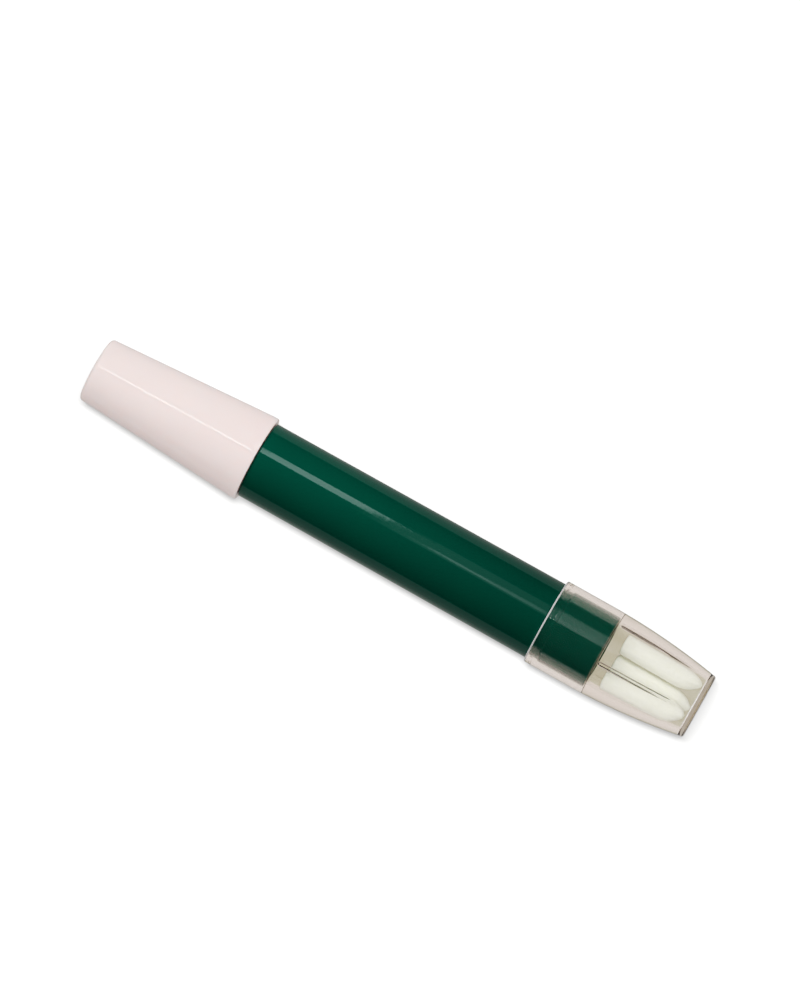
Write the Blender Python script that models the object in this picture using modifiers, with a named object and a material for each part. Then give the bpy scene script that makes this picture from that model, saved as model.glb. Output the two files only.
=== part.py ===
"""A nail polish corrector pen with a felt nib, and three spare nibs in a clear cap on its tail.

Units are metres and +Z is up. The pen lies along X on the rims of its two caps, with the pink
cap towards -X, and the origin is on the ground under its middle. Every piece is placed by its
station, which is counted along the pen from the pink cap's closed end.
"""
import math

import bmesh
import bpy
from mathutils import Matrix, Vector

# Fits
SEAT_GAP = 0.0003  # between faces that meet end to end
FIT_GAP = 0.00025  # all round, between a plug or neck and its bore
NIB_GAP = 0.0002  # between a spare nib and the wall, or a rib, beside it
EDGE = 0.0003  # rounding of moulded edges

# Barrel
BARREL_OD = 0.0163  # at its tail
BARREL_DRAFT = 0.0002  # how much its radius has fallen at the pink end
BARREL_WALL = 0.00165
BARREL_LENGTH = 0.0640
SPIGOT_STEP = 0.0005
SPIGOT_LENGTH = 0.0126
BARREL_RIBS = 6
BARREL_RIB_WIDTH = 0.0009
BARREL_RIB_HEIGHT = 0.00125

# How far both caps' rims stand out from the barrel, so that the pen lies level
RIM_STEP = 0.00075

# Pink cap
CAP_LENGTH = 0.0366
CAP_LAND = 0.0012  # straight run at its mouth, past the taper
CAP_END_OD = 0.0133
CAP_WALL = 0.0011
CAP_CORNER = 0.0016
CAP_DOME = 0.0005

# Inner cap
LINER_WALL = 0.0009
LINER_FLANGE = 0.0010

# Felt nib, working and spare
NIB_OD = 0.0045
NIB_LENGTH = 0.0171
NIB_NOSE = 0.0043
NIB_TIP = 0.0006
NIB_STICK_OUT = 0.0060

# Nib holder
NECK_STEP = 0.0010  # down from the barrel
NECK_LENGTH = 0.0060
NECK_LIP = 0.0005
CONE_LENGTH = 0.0035
NOSE_OD = 0.0092
NOSE_LENGTH = 0.0055
NOSE_CHAMFER = 0.0006
HOLDER_PLUG = 0.0100
NIB_OVERHANG = 0.0015  # how far the nib's tail stands past its socket
VENT_COUNT = 4
VENT_WIDTH = 0.0006
VENT_DEPTH = 0.0005

# Snap fits: a low bead inside each cap, and the groove it clicks into
GROOVE_WIDTH = 0.0012
GROOVE_DEPTH = 0.0003
BEAD_WIDTH = 0.0008
BEAD_HEIGHT = 0.00015

# Reservoir wrap
WRAP_WALL = 0.0002
WRAP_GAP = 0.0002

# Tail plug
TAIL_RECESS = 0.0006
TAIL_SKIRT = 0.0070
TAIL_WALL = 0.0011
TAIL_POST = 0.0096
TAIL_POST_OD = 0.0060

# Clear end cap
END_CAP_LENGTH = 0.0340
CROWN_LENGTH = 0.0246
CROWN_END_OD = 0.0133
CROWN_CORNER = 0.0009
LEDGE_WALL = 0.00185
TIP_WALL = 0.0012
END_THICKNESS = 0.00115
RIB_COUNT = 3
RIB_TURN = math.radians(-19.0)  # first rib, from straight up
RIB_WIDTH = 0.0008
RIB_HEIGHT = 0.0006
RIB_LENGTH = 0.0165
RIB_BODY = 0.0010  # with the part of it that is sunk in the wall

# Spare nibs, in the bottom of the clear cap
SPARE_COUNT = 3
SPARE_REST = 0.0018  # from the nibs' tips to the outside of the clear cap's end
SPARE_SPACING = 0.0005  # between neighbours
SPARE_TURN = math.radians(190.9)  # middle nib's tail, from straight up
SPARE_TWIST = math.radians(6.0)  # of the three together, from their tails to their points

# Facets
OUTER_SIDES = 48
INNER_SIDES = 32
NIB_SIDES = 24
RIB_SIDES = 12  # of the round front of a rib in the clear cap
CROWN_STEPS = 8
ARC_STEP = 0.0005  # length of one flat in a rounded corner
DOME_SHARES = (0.5, 0.25, 0.0)  # of the end's radius, where its dome has a point

# Diameters that follow from the barrel's
BARREL_BORE = BARREL_OD - 2 * BARREL_WALL
SPIGOT_OD = BARREL_OD - 2 * SPIGOT_STEP
NECK_OD = BARREL_OD - 2 * NECK_STEP
RIM_OD = BARREL_OD + 2 * RIM_STEP
RESERVOIR_OD = BARREL_BORE - 2 * (BARREL_RIB_HEIGHT + FIT_GAP)

# Stations along the pen
FRONT_SHOULDER = CAP_LENGTH + SEAT_GAP
REAR_SHOULDER = FRONT_SHOULDER + BARREL_LENGTH
SPIGOT_END = REAR_SHOULDER + SPIGOT_LENGTH
END_CAP_MOUTH = REAR_SHOULDER + SEAT_GAP
LEDGE = SPIGOT_END + SEAT_GAP
PEN_LENGTH = END_CAP_MOUTH + END_CAP_LENGTH
NECK_FRONT = CAP_LENGTH - NECK_LENGTH
CONE_FRONT = NECK_FRONT - CONE_LENGTH
NOSE_FRONT = CONE_FRONT - NOSE_LENGTH
NIB_POINT = NOSE_FRONT - NIB_STICK_OUT
NIB_TAIL = NIB_POINT + NIB_LENGTH
CUP_FLOOR = NIB_TAIL - NIB_OVERHANG
TAPER_END = CAP_LENGTH - CAP_LAND
HOLDER_TAIL = CAP_LENGTH + HOLDER_PLUG
TAIL_PLUG_END = SPIGOT_END - TAIL_RECESS
TAIL_SKIRT_FRONT = TAIL_PLUG_END - TAIL_SKIRT
TAIL_POST_FRONT = TAIL_PLUG_END - TAIL_POST
RESERVOIR_FRONT = NIB_TAIL + SEAT_GAP
RESERVOIR_END = TAIL_POST_FRONT - SEAT_GAP
SPARE_POINT = PEN_LENGTH - SPARE_REST
SPARE_TAIL = SPARE_POINT - NIB_LENGTH

# The flats of the faceted rims touch the ground
AXIS_HEIGHT = RIM_OD / 2 * math.cos(math.pi / OUTER_SIDES)


def start_afresh():
    """Empty the scene and make the collections for the pen's pieces and for its cutters."""
    for old in list(bpy.data.objects):
        bpy.data.objects.remove(old, do_unlink=True)
    made = []
    for name in ("corrector_pen", "corrector_pen_cutters"):
        collection = bpy.data.collections.new(name)
        bpy.context.scene.collection.children.link(collection)
        made.append(collection)
    return made


def add_axis(collection):
    """An empty on the pen's axis, at the pink end, whose local Z runs along the pen."""
    axis = bpy.data.objects.new("pen_axis", None)
    axis.location = (-PEN_LENGTH / 2, 0.0, AXIS_HEIGHT)
    axis.rotation_euler = (0.0, math.pi / 2, 0.0)
    collection.objects.link(axis)
    return axis


def plastic(name, colour, roughness, transmission=0.0):
    """A Principled material in one colour."""
    material = bpy.data.materials.new(name)
    material.use_nodes = True
    shader = material.node_tree.nodes["Principled BSDF"]
    shader.inputs["Base Color"].default_value = (*colour, 1.0)
    shader.inputs["Roughness"].default_value = roughness
    shader.inputs["Metallic"].default_value = 0.0
    shader.inputs["Transmission Weight"].default_value = transmission
    material.diffuse_color = (*colour, 1.0 - 0.6 * transmission)
    return material


def across(turn, radius):
    """A point across the pen's axis, turned from straight up towards +Y."""
    return -radius * math.cos(turn), radius * math.sin(turn)


def rounded(corners):
    """A closed outline's points, from its (station, radius, rounding) corners.

    A rounded corner is an arc that touches both of its sides, and takes up to half of each.
    """
    points = []
    for index, (station, radius, rounding) in enumerate(corners):
        corner = Vector((station, radius))
        if rounding <= 0.0:
            points.append((station, radius))
            continue
        back = Vector(corners[index - 1][:2]) - corner
        ahead = Vector(corners[(index + 1) % len(corners)][:2]) - corner
        half = back.angle(ahead) / 2
        reach = min(rounding / math.tan(half), back.length / 2, ahead.length / 2)
        arc = reach * math.tan(half)
        back.normalize()
        ahead.normalize()
        centre = corner + (back + ahead).normalized() * arc / math.sin(half)
        first = corner + back * reach - centre
        last = corner + ahead * reach - centre
        start = math.atan2(first.y, first.x)
        sweep = (math.atan2(last.y, last.x) - start + math.pi) % (2 * math.pi) - math.pi
        steps = max(2, round(arc * abs(sweep) / ARC_STEP))
        for step in range(steps + 1):
            angle = start + sweep * step / steps
            points.append((centre.x + arc * math.cos(angle), centre.y + arc * math.sin(angle)))
    return points


def profile_mesh(name, points, sides):
    """The outline of a turned piece, half a facet round so that a flat faces the ground.

    Its (station, radius) points go down the outer side, from the tail end to the nib end, and
    back along the bore. Neighbours that both lie on the axis are not joined.
    """
    half = math.pi / sides
    verts = [(radius * math.cos(half), radius * math.sin(half), station) for station, radius in points]
    edges = []
    for index in range(len(points)):
        following = (index + 1) % len(points)
        if max(points[index][1], points[following][1]) > 0.0:
            edges.append((index, following))
    mesh = bpy.data.meshes.new(name)
    mesh.from_pydata(verts, edges, [])
    return mesh


def add_turned(name, mesh, sides, material, collection, axis):
    """A turned piece: its outline, swept once round the pen's axis by a Screw modifier."""
    part = bpy.data.objects.new(name, mesh)
    part.parent = axis
    if not mesh.materials:
        mesh.materials.append(material)
    screw = part.modifiers.new("turn", "SCREW")
    screw.axis = "Z"
    screw.angle = 2 * math.pi
    screw.steps = sides
    screw.render_steps = sides
    screw.use_merge_vertices = True
    screw.merge_threshold = 0.00001
    screw.use_smooth_shade = True
    collection.objects.link(part)
    return part


def add_cutter(name, bm, collection, axis):
    """A body that only joins or cuts others, kept out of renders."""
    mesh = bpy.data.meshes.new(name)
    bm.to_mesh(mesh)
    bm.free()
    cutter = bpy.data.objects.new(name, mesh)
    cutter.parent = axis
    cutter.hide_render = True
    cutter.display_type = "WIRE"
    collection.objects.link(cutter)
    return cutter


def add_boolean(part, operation, other):
    """Join a part with a body from the cutters' collection, or cut it with one."""
    step = part.modifiers.new(operation.lower(), "BOOLEAN")
    step.operation = operation
    step.solver = "EXACT"
    step.object = other


def add_box(bm, low, high, turn):
    """A box between two corners, then turned about the pen's axis."""
    size = [high[i] - low[i] for i in range(3)]
    middle = [(high[i] + low[i]) / 2 for i in range(3)]
    place = Matrix.Rotation(turn, 4, "Z") @ Matrix.Translation(middle) @ Matrix.Diagonal((*size, 1.0))
    bmesh.ops.create_cube(bm, size=1.0, matrix=place)


def bead(bore, start, end):
    """Corners of a low bead that stands out of a bore between two stations."""
    ramp = (end - start) / 4
    crest = bore - BEAD_HEIGHT
    return [(start, bore, 0.0), (start + ramp, crest, 0.0), (end - ramp, crest, 0.0), (end, bore, 0.0)]


def groove(radius, start, end):
    """Corners of the groove for a bead, down a part's outside from one station to a lower one."""
    ramp = (start - end) / 6
    floor = radius - GROOVE_DEPTH
    return [(start, radius, 0.0), (start - ramp, floor, 0.0), (end + ramp, floor, 0.0), (end, radius, 0.0)]


def build_cap(collection, axis):
    """The pink cap: a taper with a slightly domed end and a short land at its mouth."""
    material = plastic("pink_polypropylene", (0.80, 0.70, 0.67), 0.3)
    bore = NECK_OD / 2 + FIT_GAP
    bead_end = CAP_LENGTH - SEAT_GAP - (GROOVE_WIDTH - BEAD_WIDTH) / 2
    corners = [
        (CAP_LENGTH, RIM_OD / 2, EDGE),
        (TAPER_END, RIM_OD / 2, 0.0),
        (CAP_DOME, cap_radius(CAP_DOME), CAP_CORNER),
        *[(CAP_DOME * share**2, cap_radius(CAP_DOME) * share, 0.0) for share in DOME_SHARES],
        (CAP_DOME + CAP_WALL, 0.0, 0.0),
        (CAP_DOME + CAP_WALL, cap_radius(CAP_DOME + CAP_WALL) - CAP_WALL, EDGE),
        (cap_station(bore + CAP_WALL), bore, 0.0),
        *bead(bore, bead_end - BEAD_WIDTH, bead_end),
        (CAP_LENGTH, bore, EDGE),
    ]
    mesh = profile_mesh("cap", rounded(corners), OUTER_SIDES)
    return add_turned("cap", mesh, OUTER_SIDES, material, collection, axis)


def cap_radius(station):
    """The pink cap's outer radius, on its straight taper."""
    return CAP_END_OD / 2 + (RIM_OD - CAP_END_OD) / 2 * station / TAPER_END


def cap_station(radius):
    """The station where the pink cap's taper has this outer radius."""
    return TAPER_END * (radius - CAP_END_OD / 2) / ((RIM_OD - CAP_END_OD) / 2)


def build_cap_liner(collection, axis):
    """The inner cap: a closed sleeve that seals on the nib holder's nose.

    Its end follows the cap's taper, and a flange at its mouth centres it in the cap.
    """
    material = plastic("natural_polyethylene", (0.75, 0.75, 0.72), 0.45)
    end = CAP_DOME + CAP_WALL + SEAT_GAP
    mouth = CONE_FRONT - SEAT_GAP
    bore = NOSE_OD / 2 + FIT_GAP
    sleeve = bore + LINER_WALL
    end_radius = cap_radius(end) - CAP_WALL - FIT_GAP
    straight_from = cap_station(sleeve + FIT_GAP + CAP_WALL)
    flange_radius = cap_radius(mouth - LINER_FLANGE) - CAP_WALL - FIT_GAP
    corners = [
        (mouth, flange_radius, 0.0),
        (mouth - LINER_FLANGE, flange_radius, 0.0),
        (mouth - LINER_FLANGE, sleeve, 0.0),
        (straight_from, sleeve, 0.0),
        (end, end_radius, EDGE),
        (end, 0.0, 0.0),
        (end + LINER_WALL, 0.0, 0.0),
        (end + LINER_WALL, end_radius - LINER_WALL, 0.0),
        (straight_from, bore, 0.0),
        (mouth, bore, EDGE),
    ]
    mesh = profile_mesh("cap_liner", rounded(corners), INNER_SIDES)
    return add_turned("cap_liner", mesh, INNER_SIDES, material, collection, axis)


def build_nib_holder(collection, cutters, axis):
    """The front section: a plug in the barrel, a neck for the cap, and a nose that grips the nib.

    A cup in its tail takes the reservoir's front, and air gets back in along the vents beside
    the nib.
    """
    material = plastic("white_polypropylene", (0.78, 0.78, 0.76), 0.35)
    socket = NIB_OD / 2 + FIT_GAP
    plug = BARREL_BORE / 2 - FIT_GAP
    cup = RESERVOIR_OD / 2 + FIT_GAP
    neck = NECK_OD / 2
    groove_start = CAP_LENGTH - SEAT_GAP
    corners = [
        (HOLDER_TAIL, plug, EDGE),
        (CAP_LENGTH, plug, 0.0),
        (CAP_LENGTH, neck, 0.0),
        *groove(neck, groove_start, groove_start - GROOVE_WIDTH),
        (NECK_FRONT, neck, 0.0),
        (NECK_FRONT, neck - NECK_LIP, 0.0),
        (CONE_FRONT, NOSE_OD / 2, EDGE),
        (NOSE_FRONT + NOSE_CHAMFER, NOSE_OD / 2, 0.0),
        (NOSE_FRONT, NOSE_OD / 2 - NOSE_CHAMFER, 0.0),
        (NOSE_FRONT, socket, 0.0),
        (CUP_FLOOR, socket, 0.0),
        (CUP_FLOOR, cup, 0.0),
        (HOLDER_TAIL, cup, 0.0),
    ]
    mesh = profile_mesh("nib_holder", rounded(corners), OUTER_SIDES)
    holder = add_turned("nib_holder", mesh, OUTER_SIDES, material, collection, axis)
    vents = bmesh.new()
    reach = socket + VENT_DEPTH
    # One slot right across the socket makes two vents
    for index in range(VENT_COUNT // 2):
        low = (-reach, -VENT_WIDTH / 2, NOSE_FRONT - EDGE)
        high = (reach, VENT_WIDTH / 2, CUP_FLOOR + EDGE)
        add_box(vents, low, high, 2 * math.pi * index / VENT_COUNT)
    add_boolean(holder, "DIFFERENCE", add_cutter("vent_slots", vents, cutters, axis))
    return holder


def build_barrel(collection, cutters, axis):
    """The green barrel: a tube with a stepped spigot at its tail and ribs that hold the reservoir."""
    material = plastic("green_polypropylene", (0.001, 0.062, 0.042), 0.3)
    outer = BARREL_OD / 2
    spigot = SPIGOT_OD / 2
    bore = BARREL_BORE / 2
    groove_end = END_CAP_MOUTH
    corners = [
        (SPIGOT_END, spigot, EDGE),
        *groove(spigot, groove_end + GROOVE_WIDTH, groove_end),
        (REAR_SHOULDER, spigot, 0.0),
        (REAR_SHOULDER, outer, EDGE),
        (FRONT_SHOULDER, outer - BARREL_DRAFT, EDGE),
        (FRONT_SHOULDER, bore, 0.0),
        (SPIGOT_END, bore, 0.0),
    ]
    mesh = profile_mesh("barrel", rounded(corners), OUTER_SIDES)
    barrel = add_turned("barrel", mesh, OUTER_SIDES, material, collection, axis)
    ribs = bmesh.new()
    inner = RESERVOIR_OD / 2 + FIT_GAP
    root = bore + BARREL_WALL / 2
    for index in range(BARREL_RIBS):
        low = (inner, -BARREL_RIB_WIDTH / 2, HOLDER_TAIL + SEAT_GAP)
        high = (root, BARREL_RIB_WIDTH / 2, TAIL_SKIRT_FRONT - SEAT_GAP)
        add_box(ribs, low, high, 2 * math.pi * index / BARREL_RIBS)
    add_boolean(barrel, "UNION", add_cutter("barrel_ribs", ribs, cutters, axis))
    return barrel


def build_reservoir(collection, axis):
    """The fibre rod that holds the remover, and the film tube wound round it."""
    fibre = plastic("polyester_fibre", (0.72, 0.70, 0.64), 0.9)
    film = plastic("polyester_film", (0.70, 0.72, 0.74), 0.2, transmission=0.6)
    outer = RESERVOIR_OD / 2
    inner = outer - WRAP_WALL
    rod = inner - WRAP_GAP
    wrap_points = [
        (RESERVOIR_END, outer),
        (RESERVOIR_FRONT, outer),
        (RESERVOIR_FRONT, inner),
        (RESERVOIR_END, inner),
    ]
    wrap_mesh = profile_mesh("reservoir_wrap", wrap_points, INNER_SIDES)
    add_turned("reservoir_wrap", wrap_mesh, INNER_SIDES, film, collection, axis)
    rod_corners = [
        (RESERVOIR_END, 0.0, 0.0),
        (RESERVOIR_END, rod, EDGE),
        (RESERVOIR_FRONT, rod, EDGE),
        (RESERVOIR_FRONT, 0.0, 0.0),
    ]
    rod_mesh = profile_mesh("reservoir", rounded(rod_corners), INNER_SIDES)
    add_turned("reservoir", rod_mesh, INNER_SIDES, fibre, collection, axis)


def build_tail_plug(collection, axis):
    """The plug in the barrel's tail: a disc with a skirt in the bore and a post to the reservoir."""
    material = plastic("dark_green_polypropylene", (0.001, 0.045, 0.03), 0.35)
    skirt = BARREL_BORE / 2 - FIT_GAP
    post = TAIL_POST_OD / 2
    floor = TAIL_PLUG_END - TAIL_WALL
    corners = [
        (TAIL_PLUG_END, 0.0, 0.0),
        (TAIL_PLUG_END, skirt, EDGE),
        (TAIL_SKIRT_FRONT, skirt, EDGE),
        (TAIL_SKIRT_FRONT, skirt - TAIL_WALL, 0.0),
        (floor, skirt - TAIL_WALL, EDGE),
        (floor, post, EDGE),
        (TAIL_POST_FRONT, post, EDGE),
        (TAIL_POST_FRONT, post - TAIL_WALL, 0.0),
        (floor, post - TAIL_WALL, 0.0),
        (floor, 0.0, 0.0),
    ]
    mesh = profile_mesh("tail_plug", rounded(corners), INNER_SIDES)
    return add_turned("tail_plug", mesh, INNER_SIDES, material, collection, axis)


def crown_radius(station):
    """The clear cap's outer radius: straight from the mouth, then one arc that draws it in."""
    drop = (RIM_OD - CROWN_END_OD) / 2
    arc = (CROWN_LENGTH**2 + drop**2) / (2 * drop)
    along = max(0.0, station - (PEN_LENGTH - CROWN_LENGTH))
    return RIM_OD / 2 - (arc - math.sqrt(arc**2 - along**2))


def chamber_radius(station):
    """The nib chamber's radius: the wall thins evenly from the ledge to the closed end."""
    share = (station - LEDGE) / (PEN_LENGTH - LEDGE)
    return crown_radius(station) - (LEDGE_WALL + (TIP_WALL - LEDGE_WALL) * share)


def spread(start, end, steps):
    """Evenly spaced stations from start to end, both ends included."""
    return [start + (end - start) * step / steps for step in range(steps + 1)]


def spare_centre(station, order):
    """The centre of a spare nib across the chamber, order steps round from the middle nib."""
    radius = chamber_radius(station) - NIB_OD / 2 - NIB_GAP
    step = 2 * math.asin((NIB_OD + SPARE_SPACING) / (2 * radius))
    twist = SPARE_TWIST * (station - SPARE_TAIL) / NIB_LENGTH
    return Vector((*across(SPARE_TURN + twist + order * step, radius), station))


def spare_reach(station, turn):
    """How far out from the pen's axis the spare nibs come in that direction, with their gap."""
    reach = 0.0
    keep_off = NIB_OD / 2 + NIB_GAP
    ray = Vector(across(turn, 1.0))
    for index in range(SPARE_COUNT):
        centre = spare_centre(station, index - (SPARE_COUNT - 1) / 2).to_2d()
        aside = max(0.0, abs(ray.cross(centre)) - RIB_WIDTH / 2)
        if ray.dot(centre) > 0.0 and aside < keep_off:
            reach = max(reach, ray.dot(centre) + math.sqrt(keep_off**2 - aside**2))
    return reach


def add_rib(bm, turn):
    """One long rib on the chamber's wall, rounded where it starts at the ledge.

    It is a short cylinder that stands across the wall, with one half drawn out along the cap.
    Its crest leans in with the wall, until the wall has come in to meet it, and it stands no
    higher than the spare nibs leave room for.
    """
    start = LEDGE + SEAT_GAP + RIB_WIDTH / 2
    crest = max(chamber_radius(start) - RIB_HEIGHT, spare_reach(SPARE_TAIL, turn))
    lean = math.atan((crest - chamber_radius(start + RIB_LENGTH)) / RIB_LENGTH)
    place = (
        Matrix.Rotation(math.pi - turn, 4, "Z")
        @ Matrix.Translation((crest, 0.0, start))
        @ Matrix.Rotation(-lean, 4, "Y")
    )
    stand = Matrix.Translation((RIB_BODY / 2, 0.0, 0.0)) @ Matrix.Rotation(math.pi / 2, 4, "Y")
    made = bmesh.ops.create_cone(
        bm,
        cap_ends=True,
        segments=RIB_SIDES,
        radius1=RIB_WIDTH / 2,
        radius2=RIB_WIDTH / 2,
        depth=RIB_BODY,
        matrix=stand,
    )
    for vert in made["verts"]:
        if vert.co.z > RIB_WIDTH / 100:
            vert.co.z += RIB_LENGTH
        vert.co = place @ vert.co


def build_end_cap(collection, cutters, axis):
    """The clear cap: a socket for the spigot, a ledge, and a ribbed chamber for the spare nibs."""
    material = plastic("clear_styrene", (0.95, 0.90, 0.88), 0.05, transmission=1.0)
    socket = SPIGOT_OD / 2 + FIT_GAP
    crown_start = PEN_LENGTH - CROWN_LENGTH
    floor = PEN_LENGTH - END_THICKNESS
    bead_start = END_CAP_MOUTH + (GROOVE_WIDTH - BEAD_WIDTH) / 2
    outside = [(s, crown_radius(s), 0.0) for s in spread(PEN_LENGTH, crown_start, CROWN_STEPS)]
    chamber = [(s, chamber_radius(s), 0.0) for s in spread(LEDGE, floor, CROWN_STEPS)]
    outside[0] = (PEN_LENGTH, crown_radius(PEN_LENGTH), CROWN_CORNER)
    chamber[-1] = (floor, chamber_radius(floor), EDGE)
    corners = [
        (PEN_LENGTH, 0.0, 0.0),
        *outside,
        (END_CAP_MOUTH, RIM_OD / 2, EDGE),
        (END_CAP_MOUTH, socket, 0.0),
        *bead(socket, bead_start, bead_start + BEAD_WIDTH),
        (LEDGE, socket, 0.0),
        *chamber,
        (floor, 0.0, 0.0),
    ]
    mesh = profile_mesh("end_cap", rounded(corners), OUTER_SIDES)
    cap = add_turned("end_cap", mesh, OUTER_SIDES, material, collection, axis)
    ribs = bmesh.new()
    for index in range(RIB_COUNT):
        add_rib(ribs, RIB_TURN + 2 * math.pi * index / RIB_COUNT)
    add_boolean(cap, "UNION", add_cutter("end_cap_ribs", ribs, cutters, axis))
    return cap


def nib_mesh():
    """The felt nib's outline: a cylinder with a blunt conical nose, its flat tail at zero."""
    shoulder = NIB_LENGTH - NIB_NOSE
    corners = [
        (NIB_LENGTH, 0.0, 0.0),
        (NIB_LENGTH, NIB_TIP, NIB_TIP),
        (shoulder, NIB_OD / 2, NIB_NOSE / 2),
        (0.0, NIB_OD / 2, EDGE),
        (0.0, 0.0, 0.0),
    ]
    return profile_mesh("nib", rounded(corners), NIB_SIDES)


def build_nibs(collection, axis):
    """The working nib in its socket, and the spares side by side in the bottom of the clear cap."""
    material = plastic("white_felt", (0.80, 0.80, 0.66), 0.85)
    mesh = nib_mesh()
    nib = add_turned("nib", mesh, NIB_SIDES, material, collection, axis)
    nib.location = (0.0, 0.0, NIB_TAIL)
    nib.rotation_euler = (math.pi, 0.0, 0.0)
    for index in range(SPARE_COUNT):
        order = index - (SPARE_COUNT - 1) / 2
        tail = spare_centre(SPARE_TAIL, order)
        shoulder = spare_centre(SPARE_POINT - NIB_NOSE, order)
        spare = add_turned(f"spare_nib_{index + 1}", mesh, NIB_SIDES, material, collection, axis)
        spare.location = tail
        spare.rotation_mode = "QUATERNION"
        spare.rotation_quaternion = Vector((0.0, 0.0, 1.0)).rotation_difference(shoulder - tail)


parts, cutters = start_afresh()
pen_axis = add_axis(parts)
build_cap(parts, pen_axis)
build_cap_liner(parts, pen_axis)
build_nib_holder(parts, cutters, pen_axis)
build_barrel(parts, cutters, pen_axis)
build_reservoir(parts, pen_axis)
build_tail_plug(parts, pen_axis)
build_end_cap(parts, cutters, pen_axis)
build_nibs(parts, pen_axis)
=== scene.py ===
"""A nail polish corrector pen that lies on a pale studio floor, seen from nearly above.

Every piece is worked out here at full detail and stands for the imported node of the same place.
Sizes are in millimetres. A station is a distance along the pen from the pink cap's closed end,
a turn is an angle round its axis, from straight up towards +Y.
"""
import math

import bpy
import numpy as np
from mathutils import Matrix, Vector


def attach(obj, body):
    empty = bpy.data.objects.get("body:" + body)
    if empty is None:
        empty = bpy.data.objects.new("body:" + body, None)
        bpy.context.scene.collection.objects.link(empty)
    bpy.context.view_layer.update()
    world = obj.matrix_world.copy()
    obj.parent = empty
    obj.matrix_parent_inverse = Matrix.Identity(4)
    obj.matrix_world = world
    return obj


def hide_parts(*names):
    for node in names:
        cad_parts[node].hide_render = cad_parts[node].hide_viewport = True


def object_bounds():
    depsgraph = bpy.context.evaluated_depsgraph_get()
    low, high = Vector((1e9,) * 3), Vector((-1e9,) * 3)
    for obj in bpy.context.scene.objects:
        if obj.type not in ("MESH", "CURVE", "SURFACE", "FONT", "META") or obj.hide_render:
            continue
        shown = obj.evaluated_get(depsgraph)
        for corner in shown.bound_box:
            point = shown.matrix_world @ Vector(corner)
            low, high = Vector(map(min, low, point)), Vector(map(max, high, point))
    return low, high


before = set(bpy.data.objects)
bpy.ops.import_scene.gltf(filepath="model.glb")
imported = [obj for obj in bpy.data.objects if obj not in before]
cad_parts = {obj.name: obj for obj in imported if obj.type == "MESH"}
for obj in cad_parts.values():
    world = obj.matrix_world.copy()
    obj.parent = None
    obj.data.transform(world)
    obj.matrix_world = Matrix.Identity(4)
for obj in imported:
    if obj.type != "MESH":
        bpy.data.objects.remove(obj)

cad_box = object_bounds()


# ---- Barrel ----
# A tube that is injection moulded in dark green polypropylene, with a stepped spigot at its tail
# for the clear cap. Six ribs inside hold the reservoir. It is the piece that all others fit on.

PEN_LENGTH = 135.2
AXIS_HEIGHT = (cad_box[1].z - cad_box[0].z) / 2 * 1000.0
BARREL_FRONT, BARREL_REAR, SPIGOT_END = 36.7, 100.9, 113.5
BORE, SPIGOT, SPIGOT_NECK = 6.5, 7.65, 7.35


def outline(items, closed, step=0.8):
    """Points round a piece's half section, as (station, radius) rows.

    An item is a corner (station, radius, rounding) or an array of points on a curve. A rounding
    is an arc that touches both sides of its corner, in steps of 9 degrees. A straight run gets a
    point close to each end, which keeps its shading flat, and more of them `step` apart.
    """
    arc_step, most_of_a_run, shortest_run, near_end = math.radians(9), 0.48, 0.12, 0.05

    def ends(item):
        return (item[0], item[-1]) if isinstance(item, np.ndarray) else (np.array(item[:2]),) * 2

    pieces = []
    for index, item in enumerate(items):
        if isinstance(item, np.ndarray):
            pieces.append(item)
            continue
        here = np.array(item[:2], float)
        if item[2] <= 0.0 or (not closed and index in (0, len(items) - 1)):
            pieces.append(here[None, :])
            continue
        before, after = items[index - 1], items[(index + 1) % len(items)]
        back, ahead = ends(before)[1] - here, ends(after)[0] - here
        back_run, ahead_run = np.linalg.norm(back), np.linalg.norm(ahead)
        back, ahead = back / back_run, ahead / ahead_run
        half = math.acos(float(np.clip(back @ ahead, -1.0, 1.0))) / 2
        reach = min(item[2] / math.tan(half), back_run * most_of_a_run, ahead_run * most_of_a_run)
        arc = reach * math.tan(half)
        centre = here + (back + ahead) / np.linalg.norm(back + ahead) * arc / math.sin(half)
        first, last = here + back * reach - centre, here + ahead * reach - centre
        start = math.atan2(first[1], first[0])
        sweep = (math.atan2(last[1], last[0]) - start + math.pi) % (2 * math.pi) - math.pi
        points = max(3, math.ceil(abs(sweep) / arc_step)) + 1
        angles = start + sweep * np.linspace(0.0, 1.0, points)
        pieces.append(centre + arc * np.stack([np.cos(angles), np.sin(angles)], axis=1))
    rows = []
    for index, piece in enumerate(pieces):
        rows.append(piece)
        if index == len(pieces) - 1 and not closed:
            break
        start, end = piece[-1], pieces[(index + 1) % len(pieces)][0]
        length = np.linalg.norm(end - start)
        if length < shortest_run:
            continue
        near = min(near_end, length / 5)
        inner = max(1, round((length - 2 * near) / step))
        along = (near + (length - 2 * near) * np.arange(inner + 1) / inner) / length
        rows.append(start + along[:, None] * (end - start))
    return np.concatenate(rows)


def pen_to_frame(points):
    """Points about the pen's axis, in millimetres, to the frame in metres."""
    return (np.asarray(points) + (-PEN_LENGTH / 2, 0.0, AXIS_HEIGHT)) / 1000.0


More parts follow.
